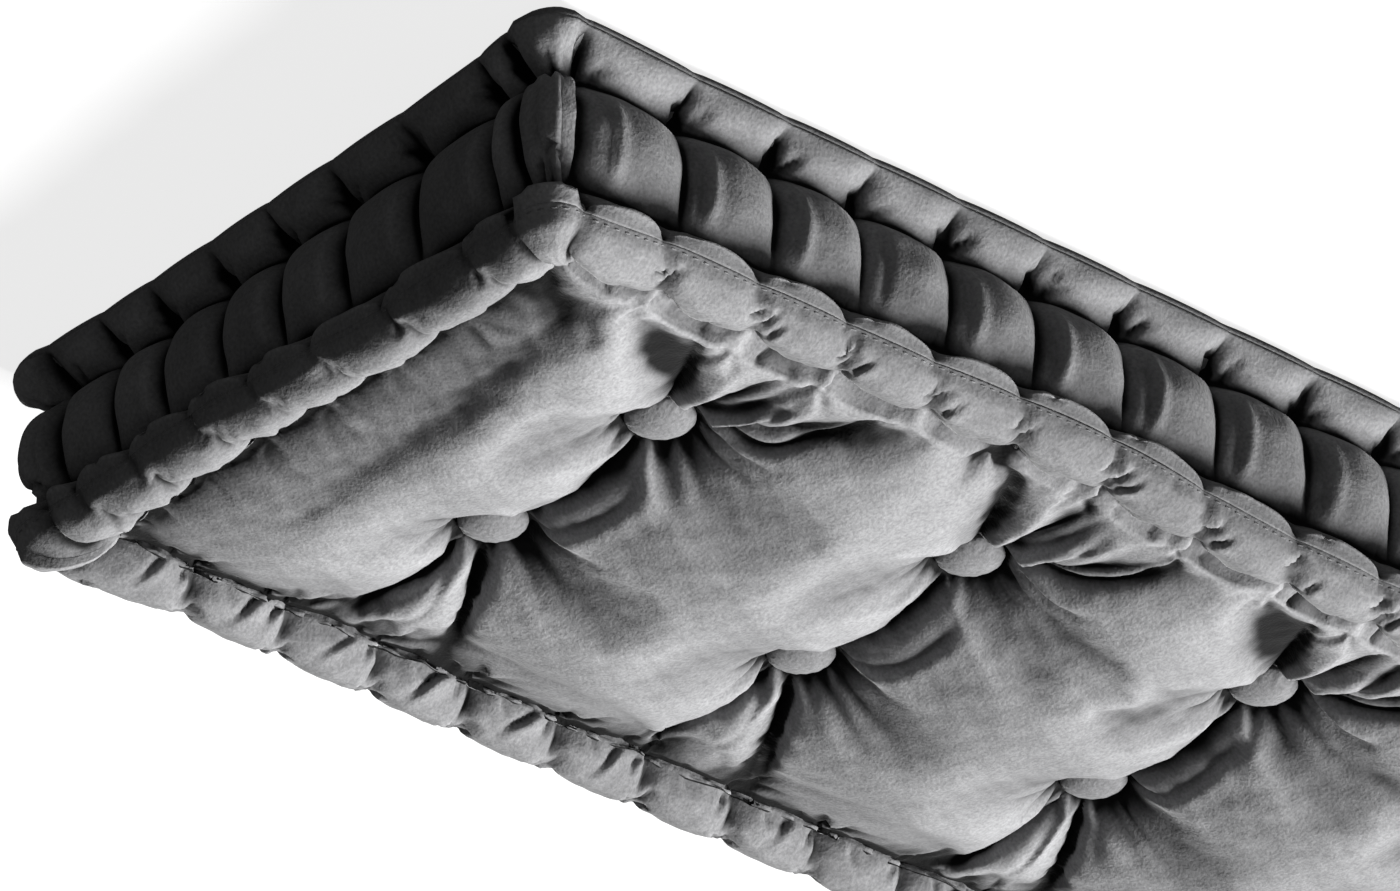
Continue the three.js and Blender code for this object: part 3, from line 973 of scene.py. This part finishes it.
def puffed_face(coarse):
    """How far a filled cover moves out from the plain shape, for the grid and for the rings."""
    grid, rows = face_surface(coarse, PUFF["ring steps"])
    bm = panel_pattern(coarse, len(rows) - 1)
    i, j, k = pattern_places(bm).T
    station = station_of(coarse, i, j)
    outer = np.concatenate([rows, lid(coarse, FACE_LID)[None]])
    places = np.where((k == 0)[:, None], grid[i, j], outer[-k, station])
    rim = (k == 0) & ((i == 0) | (j == 0) | (i == coarse.sizes[0]) | (j == coarse.sizes[1]))
    sewn = (nearest_button(*places[:, :2].T) < SEAT_RADIUS) | (-k >= len(rows) - 1) | rim
    piece = mesh_object("puff", bm, places)
    mesh = piece.data
    moved = capped(simulated(piece, sewn) - places, mesh)
    bpy.data.meshes.remove(mesh)
    grid_moved = np.zeros_like(grid)
    rows_moved = np.zeros_like(outer)
    on_grid = k == 0
    grid_moved[i[on_grid], j[on_grid]] = moved[on_grid]
    rows_moved[-k[~on_grid], station[~on_grid]] = moved[~on_grid]
    rows_moved[0, station[rim]] = moved[rim]
    return grid_moved, rows_moved[:-1]


def simulated(piece, sewn):
    """The places of a mesh after a short cloth simulation under air pressure, held where it is sewn."""
    pins = piece.vertex_groups.new(name="sewn")
    pins.add([int(index) for index in np.nonzero(sewn)[0]], 1, "REPLACE")
    cloth = piece.modifiers.new("Cloth", "CLOTH")
    settings = cloth.settings
    settings.quality = PUFF["quality"]
    settings.tension_stiffness = PUFF["tension"]
    settings.compression_stiffness = PUFF["tension"]
    settings.shear_stiffness = PUFF["shear"]
    settings.bending_stiffness = PUFF["bending"]
    settings.use_pressure = True
    settings.uniform_pressure_force = PUFF["pressure"]
    settings.shrink_min = -PUFF["spare cloth"]
    settings.vertex_group_mass = pins.name
    settings.effector_weights.gravity = 0
    cloth.collision_settings.use_collision = False
    scene = bpy.context.scene
    for number in range(1, PUFF["frames"] + 1):
        scene.frame_set(number)
    shaped = piece.evaluated_get(bpy.context.evaluated_depsgraph_get())
    found = np.empty(len(piece.data.vertices) * 3)
    shaped.data.vertices.foreach_get("co", found)
    bpy.data.objects.remove(piece)
    scene.frame_set(1)
    return found.reshape(-1, 3) / MM


def capped(moved, mesh):
    """Moves no longer than the furthest allowed, and less far inwards."""
    normals = np.empty(moved.size)
    mesh.vertex_normals.foreach_get("vector", normals)
    normals = normals.reshape(-1, 3)
    length = np.linalg.norm(moved, axis=1, keepdims=True)
    moved = moved * np.minimum(1, PUFF["furthest"] / np.maximum(length, 1e-6))
    out = np.sum(moved * normals, axis=1, keepdims=True)
    return moved + normals * (np.maximum(out, -PUFF["furthest in"]) - out)


def spread(coarse_moved, coarse, outline):
    """The moves of a coarse face, read at the places of a fine one."""
    grid, rows = coarse_moved
    end, side = (coarse_station(fine, rough) for fine, rough in zip(outline.steps[:2], coarse.steps[:2]))
    across = np.append(side, coarse.sizes[0])
    along = np.append(end, coarse.sizes[1])
    grid = read_between(grid, across)
    grid = read_between(grid.swapaxes(0, 1), along).swapaxes(0, 1)
    stations = np.concatenate([coarse.starts[k] + (end, side)[k % 2] for k in range(len(SIDES))])
    rows = read_between(rows, coarse_ring(RING_STEPS["roll"], PUFF["ring steps"]))
    rows = read_between(rows.swapaxes(0, 1), stations, closed=True).swapaxes(0, 1)
    return grid, rows


def make_face(outline, material):
    """The pieces of the buttoned face: its panel, and the roll round it."""
    coarse = Outline(PUFF["end steps"], PUFF["side steps"])
    puffs = spread(puffed_face(coarse), coarse, outline)
    grid, rows = face_places(outline, puffs, long_folds() + button_fans() + roll_pleats())
    face = panel_piece("cover_face", outline, grid, rows[:1], FACE_LID, material)
    roll = tube_piece("cover_roll", outline, rows, ROLL_LIDS, material)
    return face, roll, seam_stitches(rows, material)


# Stitches: 2 to the power of the doublings, with their length, width and height, on this ring of the roll
STITCH_DOUBLINGS = 9
STITCH_SIZE = (3.8, 0.9, 0.8)
STITCH_RING = -3
STITCH_SPACING = 10


def seam_stitches(rows, material):
    """A row of stitches beside the seam of the upper roll. The height of the pattern numbers them."""
    bm = bmesh.new()
    bmesh.ops.create_uvsphere(bm, u_segments=6, v_segments=4, radius=0.5)
    for doubling in range(STITCH_DOUBLINGS):
        copied = bmesh.ops.duplicate(bm, geom=bm.verts[:] + bm.edges[:] + bm.faces[:])["geom"]
        corners = of_type(copied, bmesh.types.BMVert)
        bmesh.ops.translate(bm, verts=corners, vec=(0, 0, STITCH_SPACING * 2**doubling))
    count = 2**STITCH_DOUBLINGS
    pattern = np.array([vert.co for vert in bm.verts])
    number = np.rint(pattern[:, 2] / STITCH_SPACING).astype(int)
    pattern[:, 2] -= number * STITCH_SPACING
    path, normal = rows[STITCH_RING], grid_normals(rows, closed=True)[STITCH_RING]
    loop = np.concatenate([path, path[:1]])
    walked = np.concatenate([[0], np.cumsum(np.linalg.norm(np.diff(loop, axis=0), axis=1))])
    at = np.interp((np.arange(count) + 0.5) * walked[-1] / count, walked, np.arange(len(loop)))
    middle_at, out = (read_between(values, at, closed=True) for values in (path, normal))
    along = read_between(path, at + 0.5, closed=True) - middle_at
    along /= np.linalg.norm(along, axis=1, keepdims=True)
    across = np.cross(out, along)
    places = middle_at[number]
    for axis, size, part in zip((along, across, out), STITCH_SIZE, pattern.T):
        places = places + size * part[:, None] * axis[number]
    return write_piece("seam_stitches", bm, places, material)


# Painted shade beside the crease behind the roll: how much deeper in shade a panel's rim counts than its
# shape says
CREASE_SHADE = 2.6
CREASE_SHADE_REACH = 13


def panel_piece(name, outline, grid, rows, lid_corner, material):
    """A piece made of a panel, the rings round it and a hidden wall behind it."""
    bm = panel_pattern(outline, len(rows) - 1)
    i, j, k = pattern_places(bm).T
    rows = np.concatenate([rows, lid(outline, lid_corner)[None]])
    station = station_of(outline, i, j)
    places = np.where((k == 0)[:, None], grid[i, j], rows[-k, station])
    # Painted shade: the hollows, and more beside the rim where the crease behind the roll runs; none on the
    # hidden walls
    shade = hollows(grid, PANEL_SCALES) + CREASE_SHADE * np.exp(-rim_distance(grid) / CREASE_SHADE_REACH)
    return write_piece(name, bm, places, material, np.where(k == 0, shade[i, j], 0))


def tube_piece(name, outline, rows, lid_corners, material):
    """A piece made of rings, closed by a hidden wall behind them."""
    bm = band_pattern(outline, len(rows) - 1)
    station, _, k = pattern_places(bm).T
    first, last = (lid(outline, corner) for corner in lid_corners)
    table = np.concatenate([rows, last[None], first[None]])
    # Depth below the surroundings, for the painted shade and painted highlight; none on the hidden walls
    shade = np.pad(hollows(rows, TUBE_SCALES, closed=True), ((0, 2), (0, 0)))
    return write_piece(name, bm, table[-k, station], material, shade[-k, station])


def make_back(outline, material):
    """The piece on the underside: the back panel, and the foot of the lower roll round it."""
    rows = rings(outline, LOWER_SEAM, RING_STEPS["back"])[::-1]
    grid = panel(outline, rows[0], back_height)
    return panel_piece("cover_back", outline, grid, rows, BACK_LID, material)


LEAST_BAND_HEIGHT = 0.5


def make_band(outline, material):
    """The piece between the two seams: the sewn sides with the lower roll."""
    rows = rings(outline, UPPER_SEAM, RING_STEPS["band"])
    arcs = np.concatenate([[0], np.cumsum(np.linalg.norm(np.diff(rows, axis=0), axis=2).mean(axis=1))])
    flat = np.stack(np.broadcast_arrays(outline.walk[None], arcs[:, None]), axis=-1).reshape(-1, 2)
    rise, _ = pressed(flat, corner_folds(outline) + bulge_folds(outline), outline.around)
    rise += BAND_SWELL * waves(flat, BAND_SWELL_LENGTH, seed=8)
    rise *= np.repeat(held_ends(arcs), outline.count)
    rows = rows + grid_normals(rows, closed=True) * rise.reshape(*rows.shape[:2], 1)
    rows[..., 2] = np.maximum(rows[..., 2], LEAST_BAND_HEIGHT)
    return tube_piece("cover_band", outline, rows, BAND_LIDS, material)


# Materials


def set_inputs(node, **values):
    """Sets the sockets of a node. Their names are written with _ for each space."""
    for name, value in values.items():
        node.inputs[name.replace("_", " ")].default_value = value


def add_node(tree, kind, links=(), **values):
    """A node with values for its properties, and the sockets linked to its inputs."""
    node = tree.nodes.new(kind)
    for name, value in values.items():
        setattr(node, name, value)
    for name, source in dict(links).items():
        tree.links.new(source, node.inputs[name])
    return node


# Tones that the patches and the grain multiply the colour by
PATCH_TONES = (0.86, 1.12)
GRAIN_TONES = (0.78, 1.22)

# Painted shade in hollows and painted highlight on ridges: millimetres below its surroundings where a place
# starts to turn dark or light, and where it is so
PAINTED_SHADE_FROM_TO = (-0.3, 2.9)
PAINTED_HIGHLIGHT_FROM_TO = (0.3, -3.5)
PAINTED_SHADE_SHARE = 0.03
PAINTED_HIGHLIGHT_SHARE = 1.5


def map_range(group, source, ends, tones=(0, 1), kind="LINEAR"):
    """The socket of a value that is brought from between two ends to between two tones."""
    node = add_node(group, "ShaderNodeMapRange", {"Value": source}, interpolation_type=kind)
    set_inputs(node, From_Min=ends[0], From_Max=ends[1], To_Min=tones[0], To_Max=tones[1])
    return node.outputs["Result"]


def mix_colours(group, share, first, second):
    """The socket of a colour between two. Inputs 6 and 7 and output 2 of the node are its colours."""
    return add_node(group, "ShaderNodeMix", {0: share, 6: first, 7: second}, data_type="RGBA").outputs[2]


def pile_and_shading_group():
    """Colour and normal of a short pile: leaning patches, painted shade in the hollows, painted highlight
    on the ridges and a fine grain.
    """
    found = bpy.data.node_groups.get("Velvet pile and painted shading")
    if found:
        return found
    group = bpy.data.node_groups.new("Velvet pile and painted shading", "ShaderNodeTree")
    for name, kind, default in (
        ("Pile", "NodeSocketColor", (0.3, 0.3, 0.3, 1)),
        ("Hollow colour", "NodeSocketColor", (0.05, 0.05, 0.05, 1)),
        ("Ridge colour", "NodeSocketColor", (0.5, 0.5, 0.5, 1)),
        ("Hollow", "NodeSocketFloat", 0),
        ("Patch size", "NodeSocketFloat", 14),
        ("Grain size", "NodeSocketFloat", 520),
    ):
        socket = group.interface.new_socket(name=name, in_out="INPUT", socket_type=kind)
        socket.default_value = default
    group.interface.new_socket(name="Color", in_out="OUTPUT", socket_type="NodeSocketColor")
    group.interface.new_socket(name="Normal", in_out="OUTPUT", socket_type="NodeSocketVector")
    given = add_node(group, "NodeGroupInput").outputs
    place = add_node(group, "ShaderNodeTexCoord").outputs["Object"]

    patches = add_node(group, "ShaderNodeTexNoise", {"Vector": place, "Scale": given["Patch size"]})
    set_inputs(patches, Detail=5, Roughness=0.6)
    grain = add_node(group, "ShaderNodeTexNoise", {"Vector": place, "Scale": given["Grain size"]})
    set_inputs(grain, Detail=2)
    tone = map_range(group, patches.outputs["Fac"], (0.3, 0.7), PATCH_TONES)
    speckle = map_range(group, grain.outputs["Fac"], (0.25, 0.75), GRAIN_TONES)
    both = add_node(group, "ShaderNodeMath", {0: tone, 1: speckle}, operation="MULTIPLY")

    # Painted shade: the colour turns dark where a place lies well below its surroundings
    deep = map_range(group, given["Hollow"], PAINTED_SHADE_FROM_TO, kind="SMOOTHSTEP")
    # Painted highlight: the colour turns light where a place stands above its surroundings
    high = map_range(group, given["Hollow"], PAINTED_HIGHLIGHT_FROM_TO, kind="SMOOTHSTEP")
    ridge = mix_colours(group, high, given["Pile"], given["Ridge colour"])
    painted_shading = mix_colours(group, deep, ridge, given["Hollow colour"])
    colour = add_node(
        group, "ShaderNodeVectorMath", {0: painted_shading, "Scale": both.outputs["Value"]}, operation="SCALE"
    )

    soft = add_node(group, "ShaderNodeBump", {"Height": patches.outputs["Fac"]})
    set_inputs(soft, Strength=0.35, Distance=0.004)
    heights = {"Height": grain.outputs["Fac"], "Normal": soft.outputs["Normal"]}
    fine = add_node(group, "ShaderNodeBump", heights)
    set_inputs(fine, Strength=0.6, Distance=0.0007)
    results = {"Color": colour.outputs["Vector"], "Normal": fine.outputs["Normal"]}
    add_node(group, "NodeGroupOutput", results)
    return group


def velvet(name, colour, patch_size):
    """The velvet material of this name, with painted shade in its hollows and painted highlight on its
    ridges, made when it is first asked for.
    """
    found = bpy.data.materials.get(name)
    if found:
        return found
    material = bpy.data.materials.new(name)
    material.use_nodes = True
    tree = material.node_tree
    # Each vertex's depth below its surroundings, read for the painted shade and painted highlight
    painted_shading = add_node(tree, "ShaderNodeAttribute", attribute_name="painted_shading")
    pile = add_node(tree, "ShaderNodeGroup", node_tree=pile_and_shading_group())
    tree.links.new(painted_shading.outputs["Fac"], pile.inputs["Hollow"])
    tone = np.array(colour)
    set_inputs(
        pile,
        Pile=(*tone, 1),
        Hollow_colour=(*(tone * PAINTED_SHADE_SHARE), 1),
        Ridge_colour=(*(tone * PAINTED_HIGHLIGHT_SHARE), 1),
        Patch_size=patch_size,
    )
    shader = tree.nodes["Principled BSDF"]
    shader.inputs["Roughness"].default_value = 0.9
    shader.inputs["Specular IOR Level"].default_value = 0.15
    shader.inputs["Sheen Weight"].default_value = 0.25
    shader.inputs["Sheen Roughness"].default_value = 0.32
    tree.links.new(pile.outputs["Color"], shader.inputs["Base Color"])
    tree.links.new(pile.outputs["Normal"], shader.inputs["Normal"])
    return material


# Covered buttons

BUTTON_RADIUS = 17.5
BUTTON_DOME = 7.5
BUTTON_RIM = 3.2
BUTTON_STEPS = 72
DOME_STEPS = 14
DOME_POWER = 1.3
UNDER_RIM = [(BUTTON_RADIUS, 1.8), (BUTTON_RADIUS - 0.8, 0.6), (BUTTON_RADIUS - 3, 0), (0.0, 0)]

# The gathers: how high they stand, and the radius where they start and how far they take to rise
GATHER = 0.12
GATHER_START = 9
GATHER_REACH = 8
GATHER_WAVES = 4


def button_profile():
    """Radius and height of a button, from the middle of its dome to the middle of its underside."""
    profile = [(0.0, BUTTON_RIM + BUTTON_DOME)]
    for k in range(1, DOME_STEPS + 1):
        turn = math.pi / 2 * k / DOME_STEPS
        height = BUTTON_RIM + BUTTON_DOME * math.cos(turn) ** DOME_POWER
        profile.append((BUTTON_RADIUS * math.sin(turn), height))
    return profile + UNDER_RIM


def button_piece(name, material, seed):
    """A covered button: a dome of cloth gathered under its rim."""
    x, y, _ = middle(name)
    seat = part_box(name)[0][2] / MM
    draw = Random(seed)
    bm = bmesh.new()
    corners = [bm.verts.new((radius, 0, height)) for radius, height in button_profile()]
    edges = [bm.edges.new(pair) for pair in zip(corners, corners[1:])]
    bmesh.ops.spin(
        bm,
        geom=corners + edges,
        cent=(0, 0, 0),
        axis=(0, 0, 1),
        dvec=(0, 0, 0),
        angle=2 * math.pi,
        steps=BUTTON_STEPS,
        use_merge=True,
    )
    bmesh.ops.remove_doubles(bm, verts=bm.verts, dist=0.001)
    places = np.array([vert.co for vert in bm.verts])
    radius = np.hypot(places[:, 0], places[:, 1])
    angle = np.arctan2(places[:, 1], places[:, 0])
    pleats = sum(np.sin(angle * draw.randint(7, 17) + draw.uniform(0, 6)) for _ in range(GATHER_WAVES))
    places[:, 2] += GATHER * pleats * ease((radius - GATHER_START) / GATHER_REACH) * (places[:, 2] > 1)
    places += (x, y, seat)
    piece = write_piece(name + "_covered", bm, places, material)
    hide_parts(name)
    return piece


# Operators


class CoverSettings(bpy.types.PropertyGroup):
    colour: FloatVectorProperty(
        name="Velvet",
        description="Colour of the pile",
        default=(0.25, 0.25, 0.255),
        size=3,
        subtype="COLOR",
    )
    end_steps: IntProperty(name="Steps across", description="Faces along an end", default=158)
    side_steps: IntProperty(name="Steps along", description="Faces along a side", default=560)


class StudioSettings(bpy.types.PropertyGroup):
    floor_size: FloatProperty(
        name="Floor",
        description="Length of the floor's side",
        default=14,
        unit="LENGTH",
        subtype="DISTANCE",
    )
    daylight: FloatProperty(
        name="Daylight",
        description="Strength of the light from all round",
        default=0.045,
    )
    key: FloatProperty(name="Key light", description="Strength of the main light", default=6.3)
    fill: FloatProperty(
        name="Fill light",
        description="Strength of the light on the front side",
        default=0.15,
    )


# Patches of leaning pile per metre
COVER_PATCHES = 14
BUTTON_PATCHES = 40


def cover_velvet(settings):
    return velvet("Grey velvet", settings.colour, COVER_PATCHES)


def dress(piece):
    """Hides the padded solid, which the pieces of the cover stand in for."""
    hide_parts("cushion")


class CUSHION_OT_face(bpy.types.Operator):
    """Builds the buttoned face, the roll round it and the stitches of its seam"""

    bl_idname = "cushion.face"
    bl_label = "Face"

    def execute(self, context):
        settings = context.scene.cushion_cover
        outline = Outline(settings.end_steps, settings.side_steps)
        face, roll, stitches = make_face(outline, cover_velvet(settings))
        dress(face)
        dress(roll)
        return {"FINISHED"}


class CUSHION_OT_band(bpy.types.Operator):
    """Builds the band between the seams, with the lower roll"""

    bl_idname = "cushion.band"
    bl_label = "Band"

    def execute(self, context):
        settings = context.scene.cushion_cover
        outline = Outline(settings.end_steps, settings.side_steps)
        dress(make_band(outline, cover_velvet(settings)))
        return {"FINISHED"}


class CUSHION_OT_back(bpy.types.Operator):
    """Builds the plain back, with half as many steps"""

    bl_idname = "cushion.back"
    bl_label = "Back"

    def execute(self, context):
        settings = context.scene.cushion_cover
        outline = Outline(settings.end_steps // 2, settings.side_steps // 2)
        dress(make_back(outline, cover_velvet(settings)))
        return {"FINISHED"}


class CUSHION_OT_buttons(bpy.types.Operator):
    """Builds the covered buttons"""

    bl_idname = "cushion.buttons"
    bl_label = "Buttons"

    def execute(self, context):
        material = velvet("Button velvet", context.scene.cushion_cover.colour, BUTTON_PATCHES)
        for seed, name in enumerate(BUTTONS):
            button_piece(name, material, seed)
        return {"FINISHED"}


# The camera of the photograph: its place, and its axes as the picture shows them
CAMERA_PLACE = (2.72299, -2.76311, 2.28534)
CAMERA_RIGHT = Vector((-0.757304, -0.653021, 0.007373))
CAMERA_DOWN = Vector((-0.336269, 0.399598, 0.852786))
CAMERA_FORWARD = Vector((-0.559834, 0.643339, -0.522208))
LENS = 223.62
SENSOR_WIDTH = 36
FURTHEST_SEEN = 40

# Where each light comes from, and how many degrees wide it is
KEY_FROM = Vector((-0.75, -0.2, 0.62))
KEY_SOFTNESS = 25
FILL_FROM = Vector((-0.1, -1, 0.35))
FILL_SOFTNESS = 60

PAPER_GREY = 0.35
PAPER_GLOW = 0.8


def white_paper():
    """The material of the floor: paper that glows enough to look white."""
    paper = bpy.data.materials.new("White paper")
    paper.use_nodes = True
    shader = paper.node_tree.nodes["Principled BSDF"]
    shader.inputs["Base Color"].default_value = (PAPER_GREY, PAPER_GREY, PAPER_GREY, 1)
    shader.inputs["Roughness"].default_value = 1
    shader.inputs["Specular IOR Level"].default_value = 0
    shader.inputs["Emission Color"].default_value = (1, 1, 1, 1)
    shader.inputs["Emission Strength"].default_value = PAPER_GLOW
    return paper


def add_floor(size):
    """A square of paper under the cushion, which lights nothing."""
    bm = bmesh.new()
    bmesh.ops.create_grid(bm, x_segments=1, y_segments=1, size=size / 2)
    mesh = bpy.data.meshes.new("floor")
    bm.to_mesh(mesh)
    bm.free()
    mesh.materials.append(white_paper())
    floor = add_object("floor", mesh)
    floor.visible_diffuse = False
    floor.visible_glossy = False


def add_light(name, strength, softness, start):
    light = bpy.data.lights.new(name, "SUN")
    light.energy = strength
    light.angle = math.radians(softness)
    add_object(name, light).rotation_euler = start.to_track_quat("Z", "Y").to_euler()


def add_camera():
    """The camera that the photograph was taken with."""
    lens = bpy.data.cameras.new("Camera")
    lens.lens = LENS
    lens.sensor_width = SENSOR_WIDTH
    lens.clip_end = FURTHEST_SEEN
    camera = add_object("Camera", lens)
    turn = Matrix((CAMERA_RIGHT, -CAMERA_DOWN, -CAMERA_FORWARD)).transposed()
    camera.matrix_world = Matrix.Translation(CAMERA_PLACE) @ turn.to_4x4()
    bpy.context.scene.camera = camera


class CUSHION_OT_studio(bpy.types.Operator):
    """Builds the floor, the light and the camera"""

    bl_idname = "cushion.studio"
    bl_label = "Studio"

    def execute(self, context):
        settings = context.scene.cushion_studio
        add_floor(settings.floor_size)
        world = bpy.data.worlds.new("Studio")
        world.use_nodes = True
        set_inputs(world.node_tree.nodes["Background"], Color=(1, 1, 1, 1), Strength=settings.daylight)
        context.scene.world = world
        add_light("Key light", settings.key, KEY_SOFTNESS, KEY_FROM)
        add_light("Fill light", settings.fill, FILL_SOFTNESS, FILL_FROM)
        add_camera()
        context.scene.view_settings.view_transform = "Standard"
        return {"FINISHED"}


class CUSHION_PT_panel(bpy.types.Panel):
    """Lists the pieces of the cushion"""

    bl_idname = "CUSHION_PT_panel"
    bl_label = "Bench cushion"
    bl_space_type = "VIEW_3D"
    bl_region_type = "UI"
    bl_category = "Cushion"

    def draw(self, context):
        for operator in OPERATORS:
            self.layout.operator(operator.bl_idname)
        for settings in (context.scene.cushion_cover, context.scene.cushion_studio):
            for name in settings.__annotations__:
                self.layout.prop(settings, name)


OPERATORS = (CUSHION_OT_studio, CUSHION_OT_face, CUSHION_OT_band, CUSHION_OT_back, CUSHION_OT_buttons)
CLASSES = (CoverSettings, StudioSettings, *OPERATORS, CUSHION_PT_panel)


def register():
    for one in CLASSES:
        bpy.utils.register_class(one)
    bpy.types.Scene.cushion_cover = PointerProperty(type=CoverSettings)
    bpy.types.Scene.cushion_studio = PointerProperty(type=StudioSettings)


def unregister():
    del bpy.types.Scene.cushion_studio
    del bpy.types.Scene.cushion_cover
    for one in reversed(CLASSES):
        bpy.utils.unregister_class(one)


def main():
    register()
    bpy.ops.cushion.studio()
    bpy.ops.cushion.face()
    bpy.ops.cushion.band()
    bpy.ops.cushion.back()
    bpy.ops.cushion.buttons()


if __name__ == "__main__":
    main()
